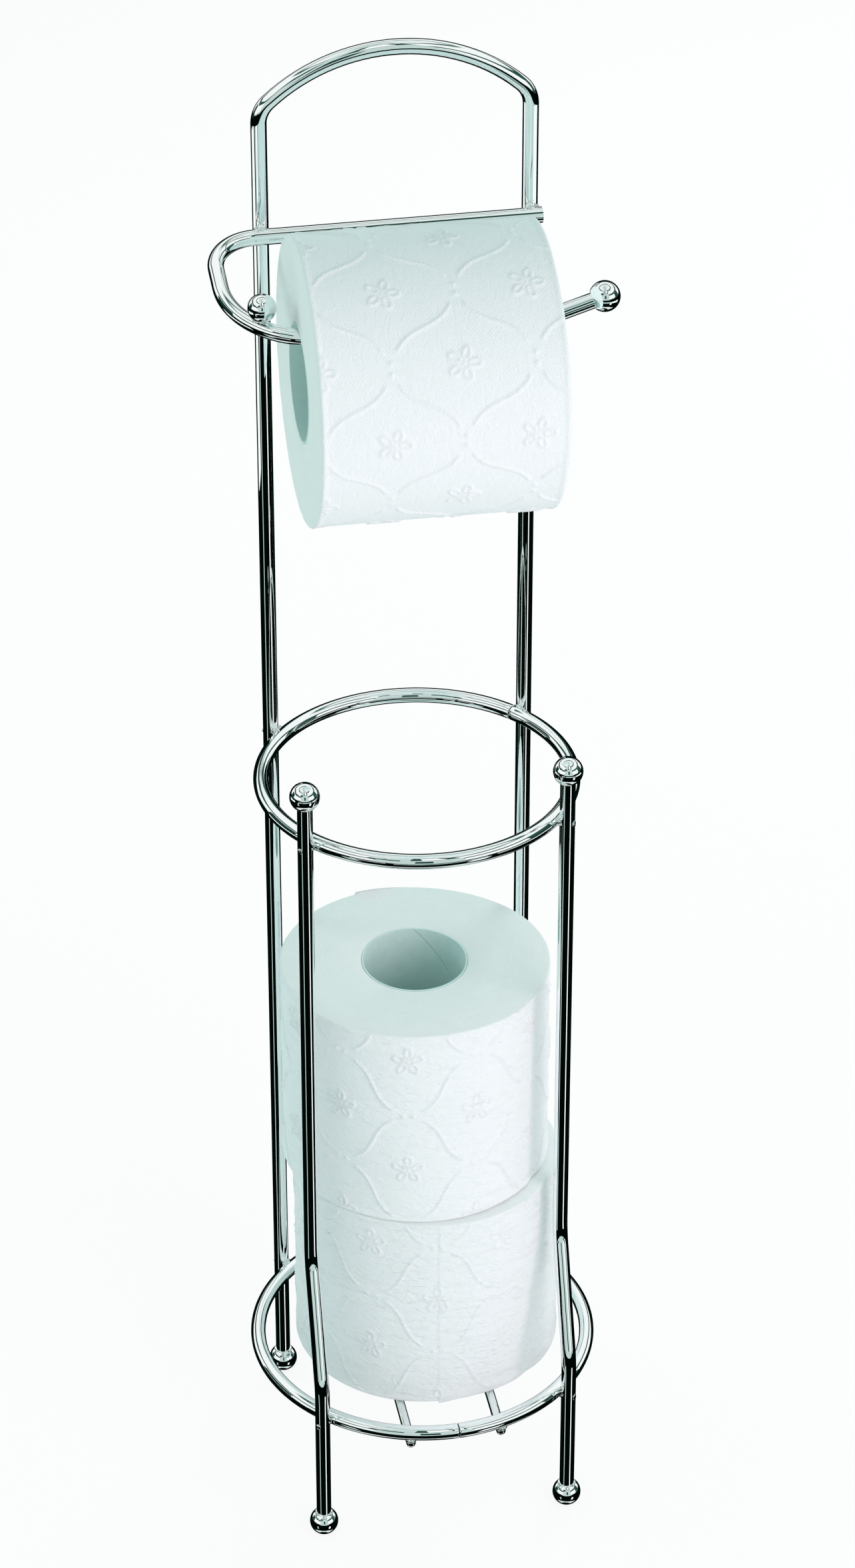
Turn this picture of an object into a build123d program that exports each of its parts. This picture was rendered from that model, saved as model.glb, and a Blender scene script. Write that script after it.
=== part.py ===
from build123d import *
import math
import os

os.makedirs("parts", exist_ok=True)

# A free-standing toilet roll stand of bent chromed tube: a rear hoop, two front legs and two rings
# make a cage for spare rolls, and a bent arm near the top carries the roll in use.
# Lengths are in millimetres and angles in degrees. Seen from the front, X runs to the right,
# Y to the back and Z up. The origin is on the floor, under the centre of the base ring.
# Radii of bent tube are measured to its centreline.

# Tube and wire
TUBE_D = 6.5
TUBE_WALL = 0.8
BAR_D = 4.2
WELD_BITE = 0.25  # how deep two members are pressed into each other at a weld

# The paper rolls
ROLL_D = 118.0
ROLL_WIDTH = 96.8
CORE_BORE_D = 46.0
CORE_WALL = 0.7
TAIL_STEP = 0.5  # height of the step at the last sheet's edge
ROLL_REST_GAP = 0.3  # clearance under each spare roll
ARM_REST_GAP = 0.65  # clearance over the arm's straight run; its front bend takes up half of this
HANGING_TAIL_ANGLE = -30.0
LOWER_TAIL_ANGLE = -95.0
UPPER_TAIL_ANGLE = 120.0

# The cage's rings and legs
BASE_RING_PLAY = 10.85  # between a spare roll and the inside of the ring, all round
BASE_RING_Z = 60.9
TOP_RING_PLAY = 2.75
TOP_RING_Z = 344.1
LEG_ANGLE = 40.1  # each leg's place round the top ring, from the X axis
RING_SEAM = 0.4  # open joint between the butted ends of a ring's tube
BASE_SEAM_ANGLE = -88.0
TOP_SEAM_ANGLE = 41.0

# Where each spare roll stands in the cage, as shares of the play: to the right, and to the back
LOWER_SPARE_SHARES = (0.285, 0.72)
UPPER_SPARE_SHARES = (-0.44, -0.2)

# The rear hoop, which is also the handle
HOOP_HEIGHT = 656.0  # floor to the top of the tube
HOOP_ARCH_R = 75.5
HOOP_CORNER_R = 12.0

# The front legs, which step forward to the wider base ring
CAP_RISE = 24.7  # from the top ring up to the cap ball's centre
STEP_ABOVE_RING = 18.1  # from the base ring up to the step
STEP_RISE = 55.0
STEP_BEND_R = 30.0

# Balls pressed on the tube ends
BALL_D = 12.5
SOCKET_FLOOR = 1.0  # the socket stops this far short of the ball's centre
FOOT_FLAT = 0.3  # worn flat under each foot
STOP_BALL_D = 11.5

# The two base bars, which carry the spare rolls
BAR_SPACING = 40.0
BAR_SHIFT = 2.0  # the pair sits this far to the right of the middle
BAR_LAP = 2.2  # how far a bar runs past the base ring's centreline
BAR_TIP_R = 1.6

# The roll arm
ARM_BELOW_TOP = 77.7  # from the top of the hoop down to the back run
ARM_DROP = 14.0  # the front run is this much lower than the back run
ARM_ROLL_GAP = 6.6  # between a full roll on the arm and the rear legs
ARM_WELD_LAND = 3.4  # the back run goes this far past the left leg before it bends
ARM_REAR_BEND_R = 18.0
ARM_FRONT_BEND_R = 34.8
ARM_BEND_LAP = 9.6  # the front bend ends this far inside the roll
ARM_BACK_END = 0.6  # the cut end shows this much past the right leg
ARM_TIP_PLAY = 0.5  # from the roll's right face to the corner where the tip turns up
ARM_TIP_LENGTH = 25.2  # from that corner to the end ball's centre
ARM_TIP_ANGLE = 17.5
ARM_TIP_BEND_R = 14.0
STOP_BALL_ANGLE = 40.0  # back round the front bend from the front run

# Places that follow from the sizes above
tube_r = TUBE_D / 2
roll_r = ROLL_D / 2
core_r = CORE_BORE_D / 2 + CORE_WALL
base_ring_r = roll_r + BASE_RING_PLAY + tube_r
top_ring_r = roll_r + TOP_RING_PLAY + tube_r
weld_distance = TUBE_D - WELD_BITE
leg_x = (top_ring_r + weld_distance) * math.cos(math.radians(LEG_ANGLE))
top_leg_offset = (top_ring_r + weld_distance) * math.sin(math.radians(LEG_ANGLE))
base_leg_y = math.sqrt((base_ring_r + weld_distance) ** 2 - leg_x**2)
rear_leg_y = base_leg_y
top_ring_y = rear_leg_y - top_leg_offset
front_leg_y = top_ring_y - top_leg_offset
front_foot_y = -base_leg_y
foot_z = BALL_D / 2 - FOOT_FLAT
cap_z = TOP_RING_Z + CAP_RISE
leg_bottom_z = foot_z + SOCKET_FLOOR
leg_top_z = cap_z - SOCKET_FLOOR
step_bottom_z = BASE_RING_Z + STEP_ABOVE_RING
bar_z = BASE_RING_Z - tube_r - BAR_D / 2 + WELD_BITE
arm_back_y = rear_leg_y - weld_distance
arm_back_z = HOOP_HEIGHT - ARM_BELOW_TOP
arm_front_y = rear_leg_y - tube_r - ARM_ROLL_GAP - roll_r
arm_front_z = arm_back_z - ARM_DROP
arm_reach = arm_back_y - arm_front_y
arm_slope_length = math.hypot(arm_reach, ARM_DROP)
arm_left_x = -leg_x - ARM_WELD_LAND - ARM_REAR_BEND_R
hanging_left_x = arm_left_x + ARM_FRONT_BEND_R - ARM_BEND_LAP
arm_tip_x = hanging_left_x + ROLL_WIDTH + ARM_TIP_PLAY
hanging_axis_z = arm_front_z + tube_r + ARM_REST_GAP - CORE_BORE_D / 2
lower_spare_z = bar_z + BAR_D / 2 + ROLL_REST_GAP
upper_spare_z = lower_spare_z + ROLL_WIDTH + ROLL_REST_GAP


def direction(angle):
    """The level unit vector at an angle from +X, counted towards +Y."""
    return Vector(math.cos(math.radians(angle)), math.sin(math.radians(angle)), 0)


def finish(piece, name):
    """Labels a finished piece and writes it to its own file."""
    piece.part.label = name
    export_step(piece.part, f"parts/{name}.step")
    print(name, "volume", round(piece.part.volume), "cubic mm")


# Bent tubes

def bent_tube(path):
    """A hollow tube swept along one path of straight runs and tangent arcs."""
    with BuildPart() as tube:
        with BuildSketch(Plane(origin=path @ 0, z_dir=path % 0)):
            Circle(tube_r)
            Circle(tube_r - TUBE_WALL, mode=Mode.SUBTRACT)
        sweep(path=path)
    return tube


def hoop_path():
    """Up the left leg, over the arch and down the right leg, with a small bend at each corner."""
    arch_z = HOOP_HEIGHT - tube_r - HOOP_ARCH_R
    corner_x = leg_x - HOOP_CORNER_R
    corner_z = arch_z + math.sqrt((HOOP_ARCH_R - HOOP_CORNER_R) ** 2 - corner_x**2)
    turn = math.degrees(math.atan2(corner_z - arch_z, corner_x))
    # This plane faces backwards, so that its own X runs to the left and its Y up.
    with BuildLine(Plane(origin=(0, rear_leg_y, 0), x_dir=(-1, 0, 0), z_dir=(0, 1, 0))) as path:
        Line((leg_x, leg_bottom_z), (leg_x, corner_z))
        CenterArc((corner_x, corner_z), HOOP_CORNER_R, 0, turn)
        CenterArc((0, arch_z), HOOP_ARCH_R, turn, 180 - 2 * turn)
        CenterArc((-corner_x, corner_z), HOOP_CORNER_R, 180 - turn, turn)
        Line((-leg_x, corner_z), (-leg_x, leg_bottom_z))
    return path.line


finish(bent_tube(hoop_path()), "rear_hoop")


def front_leg_path(side):
    """Straight down beside the top ring, forward in a step, and down to the foot."""
    points = [
        (side * leg_x, front_leg_y, leg_top_z),
        (side * leg_x, front_leg_y, step_bottom_z + STEP_RISE),
        (side * leg_x, front_foot_y, step_bottom_z),
        (side * leg_x, front_foot_y, leg_bottom_z),
    ]
    with BuildLine() as path:
        FilletPolyline(*points, radius=STEP_BEND_R)
    return path.line


for side, word in ((-1, "left"), (1, "right")):
    finish(bent_tube(front_leg_path(side)), f"front_leg_{word}")


tip_corner = Vector(arm_tip_x, arm_front_y, arm_front_z)
tip_way = Vector(math.cos(math.radians(ARM_TIP_ANGLE)), 0, math.sin(math.radians(ARM_TIP_ANGLE)))


def arm_path():
    """Along the back, round the left end, forward and down to the front run, and up to the tip."""
    points = [
        Vector(leg_x + tube_r + ARM_BACK_END, arm_back_y, arm_back_z),
        Vector(arm_left_x, arm_back_y, arm_back_z),
        Vector(arm_left_x, arm_front_y, arm_front_z),
        tip_corner,
        tip_corner + tip_way * (ARM_TIP_LENGTH - SOCKET_FLOOR),
    ]
    with BuildLine() as path:
        FilletPolyline(*points, radius=[ARM_REAR_BEND_R, ARM_FRONT_BEND_R, ARM_TIP_BEND_R])
    return path.line


finish(bent_tube(arm_path()), "roll_arm")


# Rings

def rolled_ring(radius, centre, seam_angle):
    """A tube rolled to a ring, with its two ends butted at the seam."""
    seam_turn = math.degrees(RING_SEAM / radius)
    start = seam_angle + seam_turn / 2
    section = Plane(origin=centre, x_dir=direction(start), z_dir=direction(start - 90))
    with BuildPart() as ring:
        with BuildSketch(section):
            with Locations((radius, 0)):
                Circle(tube_r)
                Circle(tube_r - TUBE_WALL, mode=Mode.SUBTRACT)
        revolve(axis=Axis(centre, (0, 0, 1)), revolution_arc=360 - seam_turn)
    return ring


finish(rolled_ring(base_ring_r, (0, 0, BASE_RING_Z), BASE_SEAM_ANGLE), "base_ring")
finish(rolled_ring(top_ring_r, (0, top_ring_y, TOP_RING_Z), TOP_SEAM_ANGLE), "top_ring")


# Base bars, solid wires with rounded ends under the base ring

def base_bar(x):
    """One bar, from just past the ring's front to just past its back."""
    half_length = math.sqrt(base_ring_r**2 - x**2) + BAR_LAP
    with BuildPart() as bar:
        with BuildSketch(Plane.XZ.offset(-half_length)):
            with Locations((x, bar_z)):
                Circle(BAR_D / 2)
        extrude(amount=2 * half_length)
        fillet(bar.edges().filter_by(GeomType.CIRCLE), BAR_TIP_R)
    return bar


for side, word in ((-1, "left"), (1, "right")):
    finish(base_bar(BAR_SHIFT + side * BAR_SPACING / 2), f"base_bar_{word}")


# Balls

def pressed_ball(centre, towards_tube, lowest=None):
    """A ball with a blind socket for a tube's end, cut flat at a lowest plane if one is given."""
    with BuildPart(Plane(origin=centre, z_dir=towards_tube)) as ball:
        Sphere(BALL_D / 2)
        with Locations((0, 0, SOCKET_FLOOR)):
            Cylinder(tube_r, BALL_D / 2, align=(Align.CENTER, Align.CENTER, Align.MIN), mode=Mode.SUBTRACT)
        if lowest is not None:
            split(bisect_by=lowest, keep=Keep.TOP)
    return ball


for side, word in ((-1, "left"), (1, "right")):
    foot_centres = (("front", front_foot_y), ("rear", rear_leg_y))
    for end, y in foot_centres:
        finish(pressed_ball((side * leg_x, y, foot_z), (0, 0, 1), Plane.XY), f"foot_ball_{end}_{word}")
    finish(pressed_ball((side * leg_x, front_leg_y, cap_z), (0, 0, -1)), f"cap_ball_{word}")

finish(pressed_ball(tip_corner + tip_way * ARM_TIP_LENGTH, -tip_way), "arm_end_ball")

# The stop ball is welded on top of the arm's front bend, part of the way down the arm's slope.
bend_turn = math.radians(STOP_BALL_ANGLE)
slope_share = 1 - ARM_FRONT_BEND_R * (1 - math.cos(bend_turn)) / arm_slope_length
stop_centre = Vector(
    arm_left_x + ARM_FRONT_BEND_R * (1 - math.sin(bend_turn)),
    arm_back_y - arm_reach * slope_share,
    arm_back_z - ARM_DROP * slope_share + tube_r + STOP_BALL_D / 2 - WELD_BITE,
)
with BuildPart(Plane(origin=stop_centre)) as stop_ball:
    Sphere(STOP_BALL_D / 2)
finish(stop_ball, "arm_stop_ball")


# Paper rolls: a card core, and paper wound on it whose last sheet ends in a small step

def wound_paper(end_plane):
    """The paper of one roll. Its outline is a spiral of two half turns that closes at the tail."""
    with BuildPart() as paper:
        with BuildSketch(end_plane):
            with BuildLine():
                CenterArc((0, 0), roll_r, 0, 180)
                CenterArc((-TAIL_STEP / 2, 0), roll_r - TAIL_STEP / 2, 180, 180)
                Line((roll_r - TAIL_STEP, 0), (roll_r, 0))
            make_face()
            Circle(core_r, mode=Mode.SUBTRACT)
        extrude(amount=ROLL_WIDTH)
    return paper


def card_core(end_plane):
    """The card tube inside one roll."""
    with BuildPart() as core:
        with BuildSketch(end_plane):
            Circle(core_r)
            Circle(CORE_BORE_D / 2, mode=Mode.SUBTRACT)
        extrude(amount=ROLL_WIDTH)
    return core


def paper_roll(name, end_plane):
    """Paper and core of one roll, which starts at its end plane."""
    finish(wound_paper(end_plane), f"{name}_paper")
    finish(card_core(end_plane), f"{name}_core")


tail = direction(HANGING_TAIL_ANGLE)
hanging_end = Plane(
    origin=(hanging_left_x, arm_front_y, hanging_axis_z),
    x_dir=(0, tail.X, tail.Y),
    z_dir=(1, 0, 0),
)
paper_roll("hanging_roll", hanging_end)


def standing_end(shares, play, ring_y, bottom_z, tail_angle):
    """The bottom plane of a spare roll that stands a little off its ring's centre."""
    origin = (shares[0] * play, ring_y + shares[1] * play, bottom_z)
    return Plane(origin=origin, x_dir=direction(tail_angle), z_dir=(0, 0, 1))


lower_end = standing_end(LOWER_SPARE_SHARES, BASE_RING_PLAY, 0, lower_spare_z, LOWER_TAIL_ANGLE)
upper_end = standing_end(UPPER_SPARE_SHARES, TOP_RING_PLAY, top_ring_y, upper_spare_z, UPPER_TAIL_ANGLE)
paper_roll("lower_spare", lower_end)
paper_roll("upper_spare", upper_end)

print("legs at x", round(leg_x, 2), "y", round(rear_leg_y, 2), round(front_leg_y, 2), round(front_foot_y, 2))
print("ring radii", round(base_ring_r, 2), round(top_ring_r, 2), "top ring centre y", round(top_ring_y, 2))
print("bars at z", round(bar_z, 2))
print("arm left x", round(arm_left_x, 2), "front run y", round(arm_front_y, 2), "z", round(arm_front_z, 2))
print("end ball at", tip_corner + tip_way * ARM_TIP_LENGTH)
print("stop ball at", stop_centre)
print("hanging roll from x", round(hanging_left_x, 2), "axis z", round(hanging_axis_z, 2))
print("spare rolls at", lower_end.origin, upper_end.origin)
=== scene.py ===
# %% [markdown]
# # A chromed toilet roll stand
# The stand is bent steel tube, plated with chromium, and it carries three rolls of embossed paper.
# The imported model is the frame: it fixes every size and place. This script gives each part its
# finished shape and surface, and each new piece goes exactly where the frame's own part is.

# %% Load the frame
import math

import bmesh
import bpy
import numpy as np
from mathutils import Matrix, Vector, noise


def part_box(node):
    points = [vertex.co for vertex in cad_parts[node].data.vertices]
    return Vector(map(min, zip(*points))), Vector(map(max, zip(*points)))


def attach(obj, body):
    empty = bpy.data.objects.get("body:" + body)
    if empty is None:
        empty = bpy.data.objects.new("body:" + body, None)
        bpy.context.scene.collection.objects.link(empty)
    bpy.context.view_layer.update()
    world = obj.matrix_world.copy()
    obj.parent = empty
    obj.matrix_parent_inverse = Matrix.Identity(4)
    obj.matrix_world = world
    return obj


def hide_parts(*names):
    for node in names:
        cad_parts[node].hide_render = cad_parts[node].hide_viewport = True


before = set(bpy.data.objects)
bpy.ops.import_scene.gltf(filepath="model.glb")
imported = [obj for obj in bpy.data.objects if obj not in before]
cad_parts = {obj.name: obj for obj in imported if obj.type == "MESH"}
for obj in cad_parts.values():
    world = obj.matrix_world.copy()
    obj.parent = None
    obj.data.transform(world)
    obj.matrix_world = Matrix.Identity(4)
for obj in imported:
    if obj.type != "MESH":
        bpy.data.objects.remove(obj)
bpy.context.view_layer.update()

# %% [markdown]
# ## The camera
# The stand is seen from above and a little from the left, through a long lens, so that its
# uprights stay almost parallel. The place and the angles come from lining up the rings, the legs,
# the balls, the arch and the rims of the rolls with the photograph. A camera looks along its own
# -Z, so it is first tipped up from straight down, then turned about the vertical.

# %% Place the camera
IMAGE_HEIGHT = 2354
FOCAL_PIXELS = 7335.5
SENSOR = 36.0
CAMERA_PLACE = (-0.30606, -1.68240, 1.43219)
CAMERA_DOWN = math.radians(32.387)
CAMERA_TURN = math.radians(10.388)

camera = bpy.data.objects.new("camera", bpy.data.cameras.new("camera"))
bpy.context.collection.objects.link(camera)
camera.data.sensor_width = SENSOR
camera.data.lens = FOCAL_PIXELS / IMAGE_HEIGHT * SENSOR
camera.data.clip_start = 0.05
camera.data.clip_end = 50.0
camera.location = CAMERA_PLACE
camera.rotation_euler = (math.pi / 2 - CAMERA_DOWN, 0.0, -CAMERA_TURN)
bpy.context.scene.camera = camera
bpy.context.scene.view_settings.view_transform = "Standard"
print("lens", round(camera.data.lens, 1), "mm")

# %% [markdown]
# ## Sizes from the frame
# A node's box tells where it is and how thick its tube is. The rear hoop lies in one upright
# plane, so its depth is the tube's diameter. A ring lies flat, so its height is. The few sizes
# that a box can't tell, such as bend radii, are named where the part is made.

# %% Read the sizes
def box_centre(node):
    """Middle of a node's box."""
    low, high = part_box(node)
    return (low + high) / 2


def box_size(node):
    """Width, depth and height of a node's box."""
    low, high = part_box(node)
    return high - low


TUBE_R = box_size("rear_hoop").y / 2
TUBE_WALL = 0.0008
LEG_X = box_size("rear_hoop").x / 2 - TUBE_R
REAR_Y = box_centre("rear_hoop").y
BALL_R = box_size("cap_ball_left").x / 2
FOOT_FLAT = 0.0003
FOOT_Z = BALL_R - FOOT_FLAT
print("tube radius", round(TUBE_R * 1000, 2), "mm, legs at x", round(LEG_X * 1000, 2))

# %% [markdown]
# ## Shared surface effects
# Plating copies every small unevenness of the tube below it, so a chromed tube never shows
# perfectly straight reflections: its streaks waver and break. The plating group makes that waver
# with two sizes of noise. It gives a height for a Bump node and a roughness that is a little
# higher where the surface has been handled.

# %% Make the plating group
LONG_WAVE_SCALE = 70.0
RIPPLE_SCALE = 420.0
RIPPLE_SHARE = 0.04
HAZE_SCALE = 35.0
HAZE_FLOOR = 0.45
HAZE_ROUGHNESS = 0.06


def fill_in(tree, node, inputs):
    """Links a node's inputs to sockets or sets them to values, by their names or numbers."""
    for name, value in inputs.items():
        if isinstance(value, bpy.types.NodeSocket):
            tree.links.new(value, node.inputs[name])
        else:
            node.inputs[name].default_value = value


def node_in(tree, kind, inputs=None, **settings):
    """Adds a node, sets its properties and fills in its inputs."""
    node = tree.nodes.new(kind)
    for name, value in settings.items():
        setattr(node, name, value)
    fill_in(tree, node, inputs or {})
    return node


def maths(tree, operation, *values):
    """Adds a Math node. Each value is a socket to link from or a number to set."""
    return node_in(tree, "ShaderNodeMath", dict(enumerate(values)), operation=operation).outputs[0]


def noise_in(tree, vector, scale, detail, **settings):
    """Adds a Noise Texture that reads a vector."""
    inputs = {"Vector": vector, "Scale": scale, "Detail": detail}
    return node_in(tree, "ShaderNodeTexNoise", inputs, **settings)


def new_group(name, inputs, outputs):
    """A node group that reads a vector and some numbers, with its two end nodes."""
    group = bpy.data.node_groups.new(name, "ShaderNodeTree")
    group.interface.new_socket(name="Vector", in_out="INPUT", socket_type="NodeSocketVector")
    for way, names in (("INPUT", inputs), ("OUTPUT", outputs)):
        for socket in names:
            group.interface.new_socket(name=socket, in_out=way, socket_type="NodeSocketFloat")
    return group, group.nodes.new("NodeGroupInput"), group.nodes.new("NodeGroupOutput")


def make_plating_group():
    """Waviness and handling haze of plated steel."""
    group, enter, leave = new_group("plating", ("Waviness", "Polish"), ("Height", "Roughness"))
    long_wave = noise_in(group, enter.outputs["Vector"], LONG_WAVE_SCALE, 1.0)
    ripple = noise_in(group, enter.outputs["Vector"], RIPPLE_SCALE, 2.0)
    haze = noise_in(group, enter.outputs["Vector"], HAZE_SCALE, 4.0)
    small = maths(group, "MULTIPLY", ripple.outputs[0], RIPPLE_SHARE)
    both = maths(group, "ADD", long_wave.outputs[0], small)
    height = maths(group, "MULTIPLY", both, enter.outputs["Waviness"])
    above = maths(group, "SUBTRACT", haze.outputs[0], HAZE_FLOOR)
    smear = maths(group, "MAXIMUM", above, 0.0)
    rough = maths(group, "MULTIPLY_ADD", smear, HAZE_ROUGHNESS, enter.outputs["Polish"])
    fill_in(group, leave, {"Height": height, "Roughness": rough})
    return group


plating = make_plating_group()
print("group", plating.name, "has", len(plating.nodes), "nodes")

# %% [markdown]
# ## Chrome
# Chrome has no colour of its own apart from a faint cool cast. What the eye sees is the room, so
# the metal is a plain Principled metal with low roughness, and the plating group only bends the
# reflections a little. Welds are a second recipe: the same metal, but lumpy and less polished.

# %% Make the metals
CHROME_TINT = (0.95, 0.985, 0.98, 1.0)
WELD_TINT = (0.80, 0.84, 0.835, 1.0)
BUMP_REACH = 0.0004


def new_material(name, inputs):
    """A material, its node tree and its shader, some of whose inputs are set."""
    material = bpy.data.materials.new(name)
    material.use_nodes = True
    shader = material.node_tree.nodes["Principled BSDF"]
    fill_in(material.node_tree, shader, inputs)
    return material, material.node_tree, shader


def add_bump(tree, shader, height, reach):
    """Bumps a shader's surface by a height times a reach in metres."""
    bump = node_in(tree, "ShaderNodeBump", {"Distance": reach, "Height": height})
    fill_in(tree, shader, {"Normal": bump.outputs["Normal"]})


def make_metal(name, tint, waviness, polish, stretch=1.0):
    """A plated metal. A stretch above 1 draws the waviness out along Z, as on a drawn tube."""
    material, tree, shader = new_material(name, {"Base Color": tint, "Metallic": 1.0})
    place = node_in(tree, "ShaderNodeTexCoord").outputs["Object"]
    inputs = {"Vector": place, "Scale": (1.0, 1.0, 1.0 / stretch)}
    drawn = node_in(tree, "ShaderNodeMapping", inputs).outputs["Vector"]
    inputs = {"Vector": drawn, "Waviness": waviness, "Polish": polish}
    group = node_in(tree, "ShaderNodeGroup", inputs, node_tree=plating)
    add_bump(tree, shader, group.outputs["Height"], BUMP_REACH)
    fill_in(tree, shader, {"Roughness": group.outputs["Roughness"]})
    return material


upright_chrome = make_metal("upright chrome", CHROME_TINT, waviness=0.3, polish=0.012, stretch=8.0)
round_chrome = make_metal("round chrome", CHROME_TINT, waviness=0.2, polish=0.012)
ball_chrome = make_metal("ball chrome", CHROME_TINT, waviness=0.06, polish=0.01)
weld_metal = make_metal("weld metal", WELD_TINT, waviness=1.6, polish=0.09)

# %% [markdown]
# ## Drawing a tube
# A tube bender works in two moves: it feeds straight tube, and it turns it round a die. The same
# two moves make the mesh. A circle of edges is extruded for a straight run, and spun about the
# die's centre for a bend, so the bends are true arcs and every tube is one unbroken skin. Ends
# are closed with a face, and an open end gets its wall by an inset.

# %% Helpers for tubes and finished pieces
VERT, EDGE = bmesh.types.BMVert, bmesh.types.BMEdge
TUBE_SIDES = 40
BEND_STEP = math.radians(3.0)
MERGE_DISTANCE = 0.000002
SHARP_ANGLE = math.radians(40.0)


def facing(way):
    """The turn that carries +Z to a direction."""
    return Vector(way).to_track_quat("Z", "Y").to_matrix().to_4x4()


def picked(items, kind):
    """The items of one kind among those that a bmesh operator gives."""
    return [item for item in items if isinstance(item, kind)]


def whole(bm):
    """All that is in a bmesh so far."""
    return bm.verts[:] + bm.edges[:] + bm.faces[:]


def spin(bm, geom, angle, steps, die=(0, 0, 0), axis=(0, 0, 1), **more):
    """Spins geometry round a die, and gives what the last step made."""
    made = bmesh.ops.spin(bm, geom=geom, cent=die, axis=axis, angle=angle, steps=steps, **more)
    return made["geom_last"]


def round_off(bm, geom, size, segments, affect="EDGES"):
    """Rounds edges or corners off by a size."""
    bmesh.ops.bevel(
        bm, geom=geom, offset=size, segments=segments, profile=0.5, affect=affect, material=-1
    )


def start_tube(bm, centre, way, radius=TUBE_R, sides=TUBE_SIDES):
    """A loop of edges square to the way that the tube sets out."""
    matrix = Matrix.Translation(centre) @ facing(way)
    made = bmesh.ops.create_circle(bm, cap_ends=False, radius=radius, segments=sides, matrix=matrix)
    return list(dict.fromkeys(edge for vert in made["verts"] for edge in vert.link_edges))


def run(bm, edges, step):
    """Feeds the tube straight on by a step, and gives back the new end loop."""
    made = bmesh.ops.extrude_edge_only(bm, edges=edges)["geom"]
    verts = picked(made, VERT)
    bmesh.ops.translate(bm, verts=verts, vec=step)
    return [edge for edge in picked(made, EDGE) if all(vert in verts for vert in edge.verts)]


def bend(bm, edges, die, axis, angle):
    """Turns the tube round a die, and gives back the new end loop."""
    steps = max(2, math.ceil(abs(angle) / BEND_STEP))
    return picked(spin(bm, edges, angle, steps, die, axis), EDGE)


def follow(bm, points, radii, radius=TUBE_R):
    """Bends one tube along straight runs with a die radius at each corner. Gives both end loops."""
    points = [Vector(point) for point in points]
    here = points[0]
    first = start_tube(bm, here, points[1] - here, radius)
    loop = first
    for corner, after, die_r in zip(points[1:-1], points[2:], radii):
        way = (corner - here).normalized()
        onward = (after - corner).normalized()
        turn = way.angle(onward)
        feed = die_r * math.tan(turn / 2)
        loop = run(bm, loop, corner - way * feed - here)
        axis = way.cross(onward).normalized()
        die = corner - way * feed + axis.cross(way) * die_r
        loop = bend(bm, loop, die, axis, turn)
        here = corner + onward * feed
    loop = run(bm, loop, points[-1] - here)
    return first, loop


def close_end(bm, edges):
    """Closes an end loop with one face."""
    return bmesh.ops.contextual_create(bm, geom=edges)["faces"][0]


def new_mesh(name, bm):
    """Writes a bmesh to a new mesh and frees it."""
    mesh = bpy.data.meshes.new(name)
    bm.to_mesh(mesh)
    bm.free()
    return mesh


def new_object(mesh):
    """Puts a mesh in the scene as an object of the same name."""
    thing = bpy.data.objects.new(mesh.name, mesh)
    bpy.context.collection.objects.link(thing)
    return thing


def smooth_faces(bm):
    """Turns all faces outward and shades them smooth."""
    bmesh.ops.recalc_face_normals(bm, faces=bm.faces)
    for face in bm.faces:
        face.smooth = True


def finish_piece(bm, name, material, body, slot, *nodes):
    """Turns a bmesh into a smooth, closed piece that rides on its body and stands for its nodes."""
    bmesh.ops.remove_doubles(bm, verts=bm.verts, dist=MERGE_DISTANCE)
    smooth_faces(bm)
    for edge in bm.edges:
        edge.smooth = not edge.is_manifold or edge.calc_face_angle(0.0) < SHARP_ANGLE
    mesh = new_mesh(name, bm)
    mesh.materials.append(material)
    piece = new_object(mesh)
    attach(piece, body)
    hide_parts(*nodes)
    print(name, len(mesh.polygons), "faces")


# %% [markdown]
# ## The rear hoop
# One tube makes both rear legs and the handle. From the left foot it goes straight up, round a
# tight corner, over a shallow arch, and down again the same way. The corner and the arch share a
# tangent where they meet, which fixes how far each one turns.

# %% Make the rear hoop
HOOP_ARCH_R = 0.0755
HOOP_CORNER_R = 0.012


def make_rear_hoop():
    """The hoop, drawn from the left foot to the right foot."""
    low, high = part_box("rear_hoop")
    arch_z = high.z - TUBE_R - HOOP_ARCH_R
    corner_x = LEG_X - HOOP_CORNER_R
    corner_z = arch_z + math.sqrt((HOOP_ARCH_R - HOOP_CORNER_R) ** 2 - corner_x**2)
    turn = math.atan2(corner_z - arch_z, corner_x)
    bm = bmesh.new()
    first = start_tube(bm, (-LEG_X, REAR_Y, low.z), (0, 0, 1))
    loop = run(bm, first, (0, 0, corner_z - low.z))
    loop = bend(bm, loop, (-corner_x, REAR_Y, corner_z), (0, 1, 0), turn)
    loop = bend(bm, loop, (0, REAR_Y, arch_z), (0, 1, 0), math.pi - 2 * turn)
    loop = bend(bm, loop, (corner_x, REAR_Y, corner_z), (0, 1, 0), turn)
    loop = run(bm, loop, (0, 0, low.z - corner_z))
    close_end(bm, first)
    close_end(bm, loop)
    finish_piece(bm, "rear_hoop_tube", upright_chrome, "stand", "chrome", "rear_hoop")


make_rear_hoop()

# %% [markdown]
# ## The front legs
# Each front leg starts further back, where the smaller top ring needs it, and steps forward to
# pass outside the larger base ring. Two equal bends make the step.

# %% Make the front legs
STEP_TOP_Z = 0.134
STEP_BOTTOM_Z = 0.079
STEP_BEND_R = 0.030


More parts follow.
